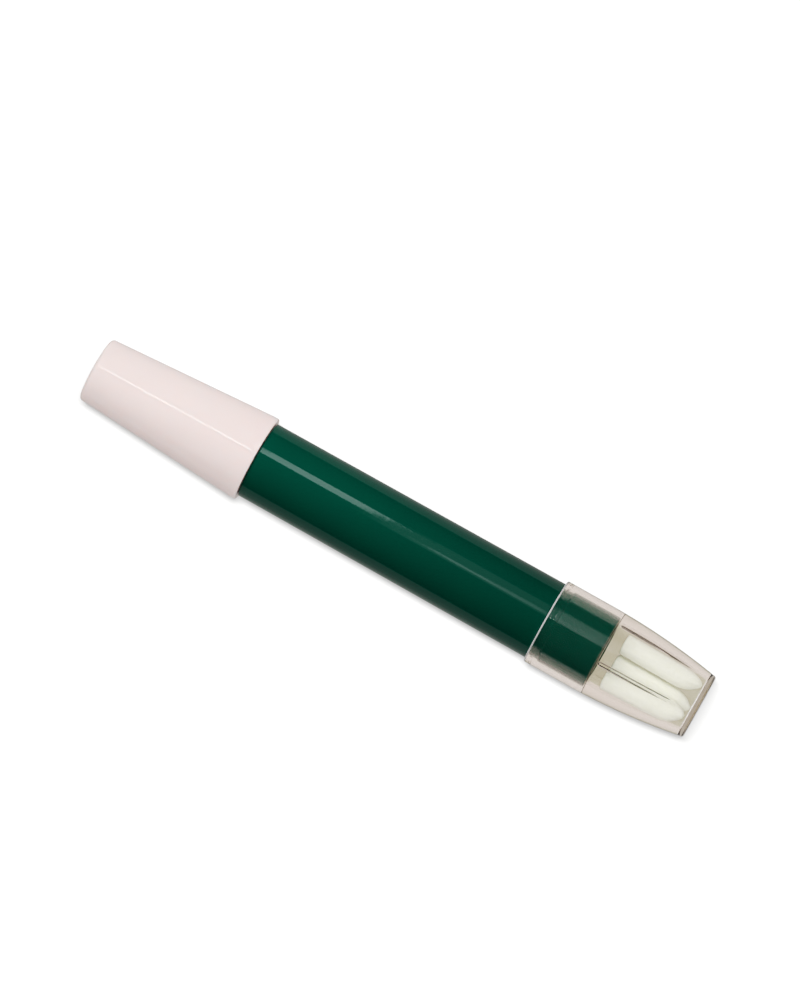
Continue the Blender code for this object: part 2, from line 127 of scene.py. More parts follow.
def surface(name, points, closed):
    """A mesh on a grid of points that wraps round its columns, and round its rows if closed.

    If it isn't closed, its first row and its last are each drawn to a single point.
    """
    rows, columns = points.shape[:2]
    number = np.arange(rows * columns).reshape(rows, columns)
    vertices = points.reshape(-1, 3)
    triangles = np.empty((0, 3), int)
    if not closed:
        number = number - (columns - 1)
        number[0] = 0
        number[-1] = number[-2, -1] + 1
        vertices = np.concatenate([points[0, :1], points[1:-1].reshape(-1, 3), points[-1, :1]])
        low = np.stack([number[0], number[1], np.roll(number[1], -1)], axis=1)
        high = np.stack([number[-2], number[-1], np.roll(number[-2], -1)], axis=1)
        triangles = np.concatenate([low, high])
        number = number[1:-1]
    here = number if closed else number[:-1]
    there = np.roll(number, -1, axis=0) if closed else number[1:]
    corners = [here, there, np.roll(there, -1, axis=1), np.roll(here, -1, axis=1)]
    quads = np.stack(corners, axis=-1).reshape(-1, 4)
    mesh = bpy.data.meshes.new(name)
    mesh.from_pydata(vertices.tolist(), [], triangles.tolist() + quads.tolist())
    mesh.shade_smooth()
    piece = bpy.data.objects.new(name, mesh)
    bpy.context.scene.collection.objects.link(piece)
    return piece


def turned(name, stations, radii, turns, closed):
    """A surface of revolution whose radius may change round it.

    A point is (station, radius sin turn, radius cos turn) about the pen's axis, for each row of
    `radii` and each turn. Rows run up the outside and back down the inside, so faces point out.
    An open outline starts and ends on the axis, and each end closes in one point there.
    """
    radii = np.broadcast_to(radii, (len(stations), len(turns)))
    x = np.broadcast_to(stations[:, None], radii.shape)
    points = np.stack([x, radii * np.sin(turns), radii * np.cos(turns)], axis=-1)
    return surface(name, pen_to_frame(points), closed)


def around(count, *marks):
    """Turns round the axis: `count` even ones, and fine steps near each mark.

    A mark is (turn, half width). Its steps run over both of its flanks, from 0.35 to 1.35 half
    widths aside, and it has one on its middle. Of turns that nearly meet, only one stays.
    """
    flank = np.linspace(0.35, 1.35, 9)
    least = 0.0008
    turns = [np.linspace(-math.pi, math.pi, count, endpoint=False)]
    for middle, half in marks:
        turns.append(middle + half * np.concatenate([flank, -flank, [0.0]]))
    turns = np.sort((np.concatenate(turns) + math.pi) % (2 * math.pi) - math.pi)
    return turns[np.append(np.diff(turns) > least, True)]


def apart(turns, middle):
    """How far each turn is from a middle one, the short way round."""
    return np.abs((turns - middle + math.pi) % (2 * math.pi) - math.pi)


def ease(share):
    """A smooth step from 0 to 1: three times the square less twice the cube."""
    share = np.clip(share, 0.0, 1.0)
    return share * share * (3.0 - 2.0 * share)


def ridge(aside, crest, flank):
    """A ridge's share of its height at a distance aside: 1 on its crest, 0 past its flank."""
    return 1.0 - ease((aside - crest) / flank)


barrel_rows = outline(
    [
        (BARREL_FRONT, BORE, 0.1),
        (BARREL_FRONT, 7.95, 0.2),
        (BARREL_REAR, 8.15, 0.12),
        (BARREL_REAR, SPIGOT_NECK, 0.05),
        (103.1, SPIGOT_NECK, 0.1),
        (103.4, SPIGOT, 0.2),
        (SPIGOT_END, SPIGOT, 0.3),
        (SPIGOT_END, BORE, 0.1),
    ],
    closed=True,
)

# The six ribs run down the bore from behind the holder to before the plug
HOLD_START, HOLD_END, HOLD_HEIGHT, HOLD_RADIUS = 46.9, 105.6, 1.25, 6.0
HOLD_CREST, HOLD_FLANK = 0.4, 0.12
hold_turns = np.arange(6) * math.pi / 3
barrel_turns = around(168, *[(turn, 0.45 / BORE) for turn in hold_turns])
stations, radii = barrel_rows[:, :1], barrel_rows[:, 1:]
in_bore = (radii < BORE + 0.01) & (stations > HOLD_START) & (stations < HOLD_END)
holds = sum(
    HOLD_HEIGHT * ridge(apart(barrel_turns, turn) * HOLD_RADIUS, HOLD_CREST, HOLD_FLANK)
    for turn in hold_turns
)
barrel = turned("barrel_tube", barrel_rows[:, 0], radii - in_bore * holds, barrel_turns, True)


def colour(text):
    """An sRGB hex colour in linear light."""
    channels = [int(text[i:i + 2], 16) / 255 for i in (0, 2, 4)]
    linear = [c / 12.92 if c <= 0.04045 else ((c + 0.055) / 1.055) ** 2.4 for c in channels]
    return (*linear, 1.0)


def add_node(material, kind, inputs, **settings):
    """A node with its settings; an input takes a number, a colour or another node's output."""
    tree = material.node_tree
    node = tree.nodes.new(kind)
    for key, value in settings.items():
        setattr(node, key, value)
    for key, value in inputs.items():
        if isinstance(value, bpy.types.NodeSocket):
            tree.links.new(value, node.inputs[key])
        else:
            node.inputs[key].default_value = value
    return node


def finish_of(name, **constants):
    """A new material with its Principled shader and its Object coordinates."""
    material = bpy.data.materials.new(name)
    material.use_nodes = True
    shader = material.node_tree.nodes["Principled BSDF"]
    for key, value in constants.items():
        shader.inputs[key.replace("_", " ")].default_value = value
    place = add_node(material, "ShaderNodeTexCoord", {}).outputs["Object"]
    return material, shader, place


def wire(material, shader, **outputs):
    """Links outputs to the shader's inputs, which are named with _ for each space."""
    for key, output in outputs.items():
        material.node_tree.links.new(output, shader.inputs[key.replace("_", " ")])


# The scale of a noise is in cells per metre, so 1000 over it is a cell's size in millimetres
DRIFT_SCALE, DRAW_SCALE, PEEL_SCALE, GRAIN_SCALE = 110.0, (60.0, 2600.0, 2600.0), 620.0, 9000.0


def moulded(name, tints, waviness, polish, **constants):
    """A moulded plastic, with what moulding leaves on it.

    Its colour drifts between two tints over about 9 mm, its polish carries faint draw lines along
    the pen, and the skin has a shallow orange peel of about 1.6 mm, `waviness` metres deep, and a
    fine grain. The roughness runs between the two of `polish`.
    """
    material, shader, place = finish_of(name, **constants)
    drift = add_node(
        material, "ShaderNodeTexNoise", {"Vector": place, "Scale": DRIFT_SCALE, "Detail": 2.0},
    )
    mixed = add_node(
        material, "ShaderNodeMix",
        {"Factor": drift.outputs["Fac"], "A": colour(tints[0]), "B": colour(tints[1])},
        data_type="RGBA",
    )
    along = add_node(material, "ShaderNodeMapping", {"Vector": place, "Scale": DRAW_SCALE})
    lines = add_node(
        material, "ShaderNodeTexNoise", {"Vector": along.outputs[0], "Scale": 1.0, "Detail": 3.0},
    )
    rough = add_node(
        material, "ShaderNodeMapRange",
        {
            "Value": lines.outputs["Fac"], "From Min": 0.3, "From Max": 0.7,
            "To Min": polish[0], "To Max": polish[1],
        },
    )
    peel = add_node(
        material, "ShaderNodeTexNoise", {"Vector": place, "Scale": PEEL_SCALE, "Detail": 1.5},
    )
    grain = add_node(
        material, "ShaderNodeTexNoise", {"Vector": place, "Scale": GRAIN_SCALE, "Detail": 2.0},
    )
    wavy = add_node(
        material, "ShaderNodeBump",
        {"Height": peel.outputs["Fac"], "Strength": 1.0, "Distance": waviness},
    )
    skin = add_node(
        material, "ShaderNodeBump",
        {
            "Height": grain.outputs["Fac"], "Strength": 1.0, "Distance": waviness * 0.02,
            "Normal": wavy.outputs[0],
        },
    )
    wire(
        material, shader, Base_Color=mixed.outputs["Result"], Roughness=rough.outputs["Result"],
        Normal=skin.outputs["Normal"],
    )
    return material


POLYPROPYLENE_IOR = 1.49

# Polypropylene, moulded in a polished tool: a deep blue-green under a clean gloss
barrel.data.materials.append(
    moulded(
        "green_polypropylene", ("0a5448", "0a594a"), 4e-6, (0.035, 0.07), IOR=POLYPROPYLENE_IOR,
    )
)
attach(barrel, "pen_barrel")
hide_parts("barrel")


# ---- Reservoir ----
# A rod of bonded polyester fibre, drawn and cut to length, that holds the remover. It is slid
# into the barrel from the tail and fed by contact with the nib.

ROD_START, ROD_END, ROD_RADIUS = 33.0, 103.0, 4.6
rod_rows = outline(
    [
        (ROD_START, 0.0, 0.0),
        (ROD_START, ROD_RADIUS, 0.3),
        (ROD_END, ROD_RADIUS, 0.3),
        (ROD_END, 0.0, 0.0),
    ],
    closed=False,
)
stations, radii = rod_rows[:, :1], rod_rows[:, 1:]
rod_turns = around(144)
draw = np.random.default_rng(5)

# Its skin is a sum of cosines with 12, 24, 36 and 48 waves round it, which wind slowly along it
strands = sum(
    0.02 / k * np.cos(k * 12 * rod_turns + draw.uniform(0, 6.28) + 0.02 * k * stations)
    for k in (1, 2, 3, 4)
)
rod_radii = np.maximum(radii + strands * (radii > 1.0), 0.0)
reservoir = turned("fibre_rod", rod_rows[:, 0], rod_radii, rod_turns, False)


def fibrous(name, tints, pitch, depth, **constants):
    """Bonded fibre that runs along the pen: streaks one fibre bundle wide, and loose ends.

    A bundle is `pitch` millimetres wide, a loose end a little over twice that, and `depth` is the
    height of both in metres. The hollows have the first tint, the heights the second; the hollows'
    darker tint is painted shade.
    """
    material, shader, place = finish_of(name, **constants)
    along = add_node(material, "ShaderNodeMapping", {"Vector": place, "Scale": (0.09, 1.0, 1.0)})
    streaks = add_node(
        material, "ShaderNodeTexNoise",
        {
            "Vector": along.outputs[0], "Scale": 1000.0 / pitch, "Detail": 4.0,
            "Roughness": 0.65,
        },
    )
    tufts = add_node(
        material, "ShaderNodeTexNoise",
        {"Vector": place, "Scale": 420.0 / pitch, "Detail": 3.0, "Roughness": 0.6},
    )
    height = add_node(
        material, "ShaderNodeMath", {0: streaks.outputs["Fac"], 1: tufts.outputs["Fac"]},
        operation="ADD",
    )
    bump = add_node(
        material, "ShaderNodeBump",
        {"Height": height.outputs[0], "Strength": 0.8, "Distance": depth},
    )
    # The darker tint in the hollows is painted shade
    shade = add_node(
        material, "ShaderNodeMapRange",
        {"Value": height.outputs[0], "From Min": 0.65, "From Max": 1.2},
    )
    mixed = add_node(
        material, "ShaderNodeMix",
        {"Factor": shade.outputs["Result"], "A": colour(tints[0]), "B": colour(tints[1])},
        data_type="RGBA",
    )
    wire(
        material, shader, Base_Color=mixed.outputs["Result"], Normal=bump.outputs["Normal"],
    )
    return material


# Bonded polyester fibre: dull, soft and a little uneven, with streaks along its length; its darker
# hollows are painted shade
reservoir.data.materials.append(
    fibrous(
        "bonded_polyester_fibre", ("d8d2c6", "efece4"), 0.25, 6e-5,
        Roughness=0.9, IOR=1.45, Sheen_Weight=0.2,
    )
)
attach(reservoir, "pen_barrel")
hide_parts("reservoir")


# ---- Reservoir wrap ----
# A thin clear polyester film, welded into a tube round the fibre rod, that keeps the remover in.

WRAP_INSIDE, WRAP_OUTSIDE = 4.8, 5.0
wrap_rows = outline(
    [
        (ROD_START, WRAP_INSIDE, 0.05),
        (ROD_START, WRAP_OUTSIDE, 0.05),
        (ROD_END, WRAP_OUTSIDE, 0.05),
        (ROD_END, WRAP_INSIDE, 0.05),
    ],
    closed=True,
)
wrap = turned("film_wrap", wrap_rows[:, 0], wrap_rows[:, 1:], around(144), True)

# Polyester film, extruded: thin, clear and shiny, with shallow creases along the tube
film, shader, place = finish_of(
    "polyester_film", Base_Color=colour("e6edf0"), IOR=1.57, Transmission_Weight=0.85,
)
along = add_node(film, "ShaderNodeMapping", {"Vector": place, "Scale": (30.0, 700.0, 700.0)})
creases = add_node(
    film, "ShaderNodeTexNoise", {"Vector": along.outputs[0], "Scale": 1.0, "Detail": 2.0},
)
bump = add_node(
    film, "ShaderNodeBump",
    {"Height": creases.outputs["Fac"], "Strength": 1.0, "Distance": 2e-5},
)
gloss = add_node(
    film, "ShaderNodeMapRange",
    {"Value": creases.outputs["Fac"], "To Min": 0.05, "To Max": 0.2},
)
wire(film, shader, Normal=bump.outputs["Normal"], Roughness=gloss.outputs["Result"])
wrap.data.materials.append(film)
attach(wrap, "pen_barrel")
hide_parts("reservoir_wrap")


# ---- Tail plug ----
# A green polypropylene disc with a skirt that is pressed into the barrel's tail, and a post that
# stands on the reservoir so that the rod stays in touch with the nib.

PLUG_FACE, PLUG_INSIDE, POST_END, SKIRT_END = 112.9, 111.8, 103.3, 105.9
POST_INSIDE, POST_OUTSIDE, SKIRT_INSIDE, SKIRT_OUTSIDE = 1.9, 3.0, 5.15, 6.25
plug_rows = outline(
    [
        (PLUG_INSIDE, 0.0, 0.0),
        (PLUG_INSIDE, POST_INSIDE, 0.2),
        (POST_END, POST_INSIDE, 0.15),
        (POST_END, POST_OUTSIDE, 0.3),
        (PLUG_INSIDE, POST_OUTSIDE, 0.3),
        (PLUG_INSIDE, SKIRT_INSIDE, 0.3),
        (SKIRT_END, SKIRT_INSIDE, 0.15),
        (SKIRT_END, SKIRT_OUTSIDE, 0.3),
        (PLUG_FACE, SKIRT_OUTSIDE, 0.3),
        (PLUG_FACE, 0.0, 0.0),
    ],
    closed=False,
)
plug = turned("tail_plug_disc", plug_rows[:, 0], plug_rows[:, 1:], around(144), False)

# Polypropylene in the barrel's green, from a plainer tool, so its gloss is duller
plug.data.materials.append(
    moulded(
        "dark_green_polypropylene", ("08473c", "084c40"), 6e-6, (0.3, 0.42),
        IOR=POLYPROPYLENE_IOR,
    )
)
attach(plug, "pen_barrel")
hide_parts("tail_plug")


# ---- Nib holder ----
# The front section, moulded in white polypropylene and pressed into the barrel: a grooved neck
# that the pink cap snaps on, a cone, and a nose with four air vents that grips the nib.

NOSE_END, NOSE_EDGE, CONE_START, CONE_END = 21.6, 22.2, 27.1, 30.6
NOSE_FACE, NOSE_RADIUS, CONE_RADIUS = 4.0, 4.6, 6.65
HOLDER_NECK, GROOVE, NECK_END = 7.15, 6.85, 36.6
SLEEVE_END, SLEEVE_OUTSIDE, SLEEVE_INSIDE = 46.6, 6.25, 5.25
SOCKET, SOCKET_END = 2.5, 31.2
holder_rows = outline(
    [
        (NOSE_END, SOCKET, 0.08),
        (NOSE_END, NOSE_FACE, 0.1),
        (NOSE_EDGE, NOSE_RADIUS, 0.1),
        (CONE_START, NOSE_RADIUS, 0.3),
        (CONE_END, CONE_RADIUS, 0.1),
        (CONE_END, HOLDER_NECK, 0.1),
        (35.1, HOLDER_NECK, 0.05),
        (35.3, GROOVE, 0.08),
        (36.1, GROOVE, 0.08),
        (36.3, HOLDER_NECK, 0.05),
        (NECK_END, HOLDER_NECK, 0.05),
        (NECK_END, SLEEVE_OUTSIDE, 0.05),
        (SLEEVE_END, SLEEVE_OUTSIDE, 0.3),
        (SLEEVE_END, SLEEVE_INSIDE, 0.1),
        (SOCKET_END, SLEEVE_INSIDE, 0.1),
        (SOCKET_END, SOCKET, 0.08),
    ],
    closed=True,
    step=0.6,
)

# The four vents are grooves, 0.5 mm deep, down the whole socket
VENT_DEPTH, VENT_RADIUS, VENT_BOTTOM, VENT_FLANK = 0.5, 2.6, 0.26, 0.08
vent_turns = np.arange(4) * math.pi / 2
holder_turns = around(160, *[(turn, 0.3 / VENT_RADIUS) for turn in vent_turns])
stations, radii = holder_rows[:, :1], holder_rows[:, 1:]
in_socket = (radii < SOCKET + 0.1) & (stations < SOCKET_END + 0.1)
vents = sum(
    VENT_DEPTH * ridge(apart(holder_turns, turn) * VENT_RADIUS, VENT_BOTTOM, VENT_FLANK)
    for turn in vent_turns
)
holder = turned("holder_section", holder_rows[:, 0], radii + in_socket * vents, holder_turns, True)

# Polypropylene, moulded with a fine satin tool: a milky white that light sinks into a little
holder.data.materials.append(
    moulded(
        "white_polypropylene", ("eeeeea", "f5f4f0"), 5e-6, (0.28, 0.38), IOR=POLYPROPYLENE_IOR,
        Subsurface_Weight=0.4, Subsurface_Scale=0.0012, Subsurface_Radius=(1.0, 0.95, 0.85),
    )
)
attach(holder, "pen_barrel")
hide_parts("nib_holder")


# ---- Working nib ----
# A rod of bonded white polyester felt with a bullet nose, ground to shape, held by friction in the
# nose's socket. It is pulled out with tweezers and turned or swapped when it is worn.

NIB_LENGTH, NIB_SHOULDER, NIB_RADIUS, NIB_TIP, NIB_TAIL = 17.1, 12.3, 2.25, 0.35, 32.7
FELT_RIDGE, FELT_HOLLOW, FELT_CORE, SLANT_RUN = 0.0175, 0.012, 1.6, 5.5

# The nose narrows from the rod's radius to the tip's with a share of the way along it: as 1 less
# the share to the power 2.2, all to the power 0.8
share = np.linspace(0.0, 1.0, 20)
nose = np.stack(
    [
        NIB_SHOULDER + (NIB_LENGTH - NIB_SHOULDER) * share,
        NIB_TIP + (NIB_RADIUS - NIB_TIP) * (1.0 - share ** 2.2) ** 0.8,
    ],
    axis=1,
)
nib_rows = outline(
    [
        (0.0, 0.0, 0.0),
        (0.0, NIB_RADIUS, 0.3),
        nose,
        (NIB_LENGTH, 0.0, 0.0),
    ],
    closed=False,
    step=0.25,
)
nib_turns = around(112)


def felt_rod(name, seed, tail, direction, slant=0.0):
    """A felt nib from its tail towards its point, whose nose is ground off centre by a slant.

    Its outline is turned about its own axis, and its skin is lifted by ridges that run along it:
    a sum of cosines of the turn, each drifting slowly along the rod. The ridges fade on the axis.
    """
    draw = np.random.default_rng(seed)
    along, radii = nib_rows[:, :1], nib_rows[:, 1:]
    ridges = np.zeros((len(nib_rows), len(nib_turns)))
    for waves in (7, 11, 17, 26, 38):
        start, drift = draw.uniform(0.0, 6.28), draw.uniform(-0.5, 0.5)
        pace = draw.uniform(0.2, 0.6)
        ridges += FELT_RIDGE / waves ** 0.5 * np.cos(
            waves * nib_turns + start + drift * along + np.cos(pace * along + start)
        )
    radii = np.maximum(radii + (ridges - FELT_HOLLOW) * ease(radii / FELT_CORE), 0.0)
    points = np.stack(
        [
            np.broadcast_to(along, radii.shape),
            radii * np.sin(nib_turns) + ease((along - NIB_SHOULDER) / SLANT_RUN) * slant,
            radii * np.cos(nib_turns),
        ],
        axis=-1,
    )
    turn_to = Vector((1.0, 0.0, 0.0)).rotation_difference(Vector(direction)).to_matrix()
    return surface(name, pen_to_frame(points @ np.array(turn_to).T + np.asarray(tail)), False)


# Bonded polyester felt: matt and off-white, with fine streaks; its hollows are a little yellow, and
# darker, which is painted shade
felt = fibrous(
    "bonded_felt", ("e6e6d4", "f6f6ea"), 0.22, 5e-5,
    Roughness=0.85, IOR=1.45, Sheen_Weight=0.15, Subsurface_Weight=0.3, Subsurface_Scale=0.0006,
    Subsurface_Radius=(1.0, 1.0, 0.8),
)
nib = felt_rod("felt_nib", 11, (NIB_TAIL, 0.0, 0.0), (-1.0, 0.0, 0.0))
nib.data.materials.append(felt)
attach(nib, "working_nib")
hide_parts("nib")


# ---- Inner cap ----
# A closed sleeve of natural polyethylene, pressed into the pink cap, that seals on the holder's
# nose so that the nib doesn't dry out. A flange at its mouth centres it.

CAP_END, CAP_RIM, CAP_WALL, TAPER_LENGTH = 6.65, 8.9, 1.1, 35.4
CAP_TAPER = (CAP_RIM - CAP_END) / TAPER_LENGTH


def cap_radius(station):
    """The pink cap's outer radius on its straight taper."""
    return CAP_END + CAP_TAPER * station


# The liner keeps 0.25 mm off the pink cap's wall, and its own wall is 0.9 mm
LINER_GAP, LINER_WALL, LINER_OUTSIDE = 0.25, 0.9, 5.75
LINER_START, FLANGE_START, LINER_MOUTH = 1.9, 25.8, 26.8
liner_end = cap_radius(LINER_START) - CAP_WALL - LINER_GAP
flange = cap_radius(FLANGE_START) - CAP_WALL - LINER_GAP
straight_from = (LINER_OUTSIDE + LINER_GAP + CAP_WALL - CAP_END) / CAP_TAPER
liner_rows = outline(
    [
        (LINER_START, 0.0, 0.0),
        (LINER_START, liner_end, 0.3),
        (straight_from, LINER_OUTSIDE, 0.5),
        (FLANGE_START, LINER_OUTSIDE, 0.1),
        (FLANGE_START, flange, 0.1),
        (LINER_MOUTH, flange, 0.1),
        (LINER_MOUTH, LINER_OUTSIDE - LINER_WALL, 0.25),
        (straight_from, LINER_OUTSIDE - LINER_WALL, 0.5),
        (LINER_START + LINER_WALL, liner_end - LINER_WALL, 0.3),
        (LINER_START + LINER_WALL, 0.0, 0.0),
    ],
    closed=False,
)
liner = turned("inner_cap", liner_rows[:, 0], liner_rows[:, 1:], around(144), False)

# Natural polyethylene, moulded without colour: waxy, milky and half clear
liner.data.materials.append(
    moulded(
        "natural_polyethylene", ("e4e4df", "ececea"), 8e-6, (0.38, 0.5), IOR=1.51,
        Subsurface_Weight=0.7, Subsurface_Scale=0.002, Subsurface_Radius=(1.0, 1.0, 0.95),
    )
)
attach(liner, "pink_cap")
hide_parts("cap_liner")


# ---- Pink cap ----
# A taper with a slightly domed end and a short land at its mouth, moulded in one piece in pale
# pink polypropylene. A low bead in its mouth snaps into the holder's groove.

CAP_MOUTH, CAP_SOCKET, CAP_BEAD, CAP_FLOOR, DOME = 36.6, 7.4, 7.25, 1.6, 0.5

# The end is a dome, 0.5 mm high: its height falls off with the square of the distance out
out = np.linspace(0.0, 0.8, 14)
dome = np.stack([DOME * out ** 2, cap_radius(DOME) * out], axis=1)
cap_rows = outline(
    [
        dome,
        (DOME, cap_radius(DOME), 1.6),
        (TAPER_LENGTH, CAP_RIM, 0.5),
        (CAP_MOUTH, CAP_RIM, 0.25),
        (CAP_MOUTH, CAP_SOCKET, 0.2),
        (36.1, CAP_SOCKET, 0.05),
        (35.9, CAP_BEAD, 0.08),
        (35.5, CAP_BEAD, 0.08),
        (35.3, CAP_SOCKET, 0.05),
        ((CAP_SOCKET + CAP_WALL - CAP_END) / CAP_TAPER, CAP_SOCKET, 0.5),
        (CAP_FLOOR, cap_radius(CAP_FLOOR) - CAP_WALL, 0.3),
        (CAP_FLOOR, 0.0, 0.0),
    ],
    closed=False,
)
cap = turned("pink_cap_shell", cap_rows[:, 0], cap_rows[:, 1:], around(192), False)

# Polypropylene with a little pink pigment, from a polished tool: glossy, and light goes into it
cap.data.materials.append(
    moulded(
        "pink_polypropylene", ("f4ddd9", "f7e1dd"), 4e-6, (0.07, 0.11), IOR=POLYPROPYLENE_IOR,
        Subsurface_Weight=0.6, Subsurface_Scale=0.001, Subsurface_Radius=(1.0, 0.8, 0.7),
    )
)
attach(cap, "pink_cap")
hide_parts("cap")


# ---- Clear end cap ----
# A cup moulded in clear styrene with a faint pink tint. Its socket snaps on the barrel's spigot
# and stops at a ledge, and behind it three long ribs run down the wall of the nibs' chamber.

MOUTH, LEDGE, FLOOR = 101.0, 113.8, 134.05
END_SOCKET, END_BEAD, END_ROUNDING = 7.9, 7.8, 0.5
CROWN_START, CROWN_LENGTH, CROWN_DROP = 110.6, 24.6, CAP_RIM - CAP_END
CROWN_ARC = (CROWN_LENGTH ** 2 + CROWN_DROP ** 2) / (2 * CROWN_DROP)
LEDGE_WALL, END_WALL = 1.85, 1.2


def crown_radius(station):
    """The clear cap's outer radius: straight, then one arc that draws it in to the closed end."""
    along = np.maximum(0.0, np.asarray(station, float) - CROWN_START)
    return CAP_RIM - (CROWN_ARC - np.sqrt(CROWN_ARC ** 2 - along ** 2))


def chamber_radius(station):
    """The chamber's radius: its wall thins evenly from the ledge to the far end."""
    share = (np.asarray(station) - LEDGE) / (PEN_LENGTH - LEDGE)
    return crown_radius(station) - (LEDGE_WALL - (LEDGE_WALL - END_WALL) * share)


def curve(radius, start, end, step=0.35):
    """Points on a radius curve between two stations."""
    stations = np.linspace(start, end, round(abs(end - start) / step) + 1)
    return np.stack([stations, radius(stations)], axis=1)


end_cap_rows = outline(
    [
        (FLOOR, 0.0, 0.0),
        (FLOOR, float(chamber_radius(FLOOR)), 0.3),
        curve(chamber_radius, FLOOR - 0.7, LEDGE + 1.6),
        curve(chamber_radius, LEDGE + 1.5, LEDGE + 0.2, 0.08),
        (LEDGE, float(chamber_radius(LEDGE)), 0.06),
        (LEDGE, END_SOCKET, 0.06),
        (102.5, END_SOCKET, 0.4),
        (101.8, END_BEAD, 0.6),
        (101.2, END_SOCKET, 0.3),
        (MOUTH, END_SOCKET, 0.12),
        (MOUTH, CAP_RIM, 0.3),
        curve(crown_radius, 103.0, PEN_LENGTH - 0.8, 0.5),
        (PEN_LENGTH, float(crown_radius(PEN_LENGTH)), END_ROUNDING),
        (PEN_LENGTH, 0.0, 0.0),
    ],
    closed=False,
)

# A rib stands out of the wall at the ledge and sinks into it further on: its crest is a straight
# line down to the wall, its start is round, and its sides slope down from the crest
RIB_TURNS = np.radians([-16.5, 102.5, 222.5])
RIB_START, RIB_LENGTH, RIB_HEIGHT, RIB_HALF = LEDGE + 0.7, 16.5, 0.6, 0.5
RIB_CREST, RIB_FLANK, RIB_RADIUS = 0.16, 0.34, 6.9
end_cap_turns = around(200, *[(turn, RIB_HALF / RIB_RADIUS) for turn in RIB_TURNS])
stations, radii = end_cap_rows[:, :1], end_cap_rows[:, 1:]
chamber = chamber_radius(stations)
in_chamber = (radii < chamber + 0.001) & (radii > 4.0) & (stations < FLOOR - 0.2)
high_end = chamber_radius(RIB_START) - RIB_HEIGHT
low_end = chamber_radius(RIB_START + RIB_LENGTH)
crest = high_end + (low_end - high_end) * (stations - RIB_START) / RIB_LENGTH
before = np.maximum(0.0, RIB_START - stations)
sides = sum(
    ridge(np.hypot(before, radii * apart(end_cap_turns, turn)), RIB_CREST, RIB_FLANK)
    for turn in RIB_TURNS
)
ribs = in_chamber * np.maximum(0.0, chamber - crest) * sides
end_cap = turned("clear_cap_shell", end_cap_rows[:, 0], radii - ribs, end_cap_turns, False)

# Styrene, moulded clear with a breath of pink that shows where the light runs a long way in the
# wall: hard and glassy, with the faintest ripple where the melt flowed, and a dull mouth edge whose
# milky white paints in the light the wall carries to its rim
FLOW_SCALE = 300.0
clear_plastic, shader, place = finish_of(
    "clear_styrene", Base_Color=colour("ffffff"), IOR=1.57,
)
flow = add_node(
    clear_plastic, "ShaderNodeTexNoise", {"Vector": place, "Scale": FLOW_SCALE, "Detail": 1.0},
)
ripple = add_node(
    clear_plastic, "ShaderNodeBump",
    {"Height": flow.outputs["Fac"], "Strength": 1.0, "Distance": 2e-6},
)

# The mouth edge is satin and mostly opaque white for its first 0.25 mm, which paints in the light
# the wall carries to its rim, and clear from 0.4 mm on
MOUTH_CLEAR, WALL_CLEAR = 0.25, 0.99
mouth = (MOUTH - PEN_LENGTH / 2) / 1000
along = add_node(clear_plastic, "ShaderNodeSeparateXYZ", {"Vector": place})
clear = add_node(
    clear_plastic, "ShaderNodeMapRange",
    {
        "Value": along.outputs["X"], "From Min": mouth + 0.00025, "From Max": mouth + 0.0004,
        "To Min": MOUTH_CLEAR, "To Max": WALL_CLEAR,
    },
)
dull = add_node(
    clear_plastic, "ShaderNodeMapRange",
    {
        "Value": clear.outputs["Result"], "From Min": MOUTH_CLEAR,
        "To Min": 0.4, "To Max": 0.015,
    },
)
wire(
    clear_plastic, shader, Normal=ripple.outputs["Normal"],
    Transmission_Weight=clear.outputs["Result"], Roughness=dull.outputs["Result"],
)

# The pigment takes most from blue and least from red, so a long way in the wall looks pink
pigment = add_node(
    clear_plastic, "ShaderNodeVolumeAbsorption",
    {"Color": (0.55, 0.3, 0.0, 1.0), "Density": 48.0},
)
output = clear_plastic.node_tree.nodes["Material Output"]
clear_plastic.node_tree.links.new(pigment.outputs["Volume"], output.inputs["Volume"])
end_cap.data.materials.append(clear_plastic)
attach(end_cap, "clear_cap")
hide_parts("end_cap")


# ---- Spare nibs ----
# Three more felt nibs lie loose in the bottom of the clear cap, side by side against its wall and
# leaning in with it, with their points towards the closed end.

SPARE_TAIL, SPARE_SHOULDER = 116.3, 129.1
SPARE_TURN, SPARE_SKEW = 190.9, 6.0
WALL_GAP, SPARE_GAP = 0.2, 0.5


def spare_centre(station, order):
    """The centre of a spare nib across the chamber, `order` places round from the middle one.

    It is a nib's radius and a gap in from the wall, and a chord of one nib and a gap from the
    next. The row of nibs turns by a few degrees along a nib's length.
    """
    radius = float(chamber_radius(station)) - NIB_RADIUS - WALL_GAP
    step = 2 * math.asin((2 * NIB_RADIUS + SPARE_GAP) / (2 * radius))
    skew = SPARE_SKEW * (station - SPARE_TAIL) / NIB_LENGTH
    turn = math.radians(SPARE_TURN + skew) + order * step
    return np.array([station, radius * math.sin(turn), radius * math.cos(turn)])


spares = []
for number, slant in ((1, 0.4), (2, -0.3), (3, 0.5)):
    tail = spare_centre(SPARE_TAIL, number - 2)
    shoulder = spare_centre(SPARE_SHOULDER, number - 2)
    spare = felt_rod(f"felt_spare_{number}", 20 + number, tail, shoulder - tail, slant)
    spare.data.materials.append(felt)
    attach(spare, f"loose_nib_{number}")
    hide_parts(f"spare_nib_{number}")
    spares.append(spare)


# ---- Studio ----
# A white table that is lit until it loses its edges, cards and a low wall that stand in for it in
# reflections and behind the clear cap, broad soft lamps, and five tubes that draw the bright lines.

RAY_KINDS = ("camera", "diffuse", "glossy", "transmission", "volume_scatter", "shadow")


def seen_only_by(stand_in, *kinds):
    """Hides a thing in the studio from every kind of ray but some."""
    for kind in RAY_KINDS:
        setattr(stand_in, f"visible_{kind}", kind in kinds)


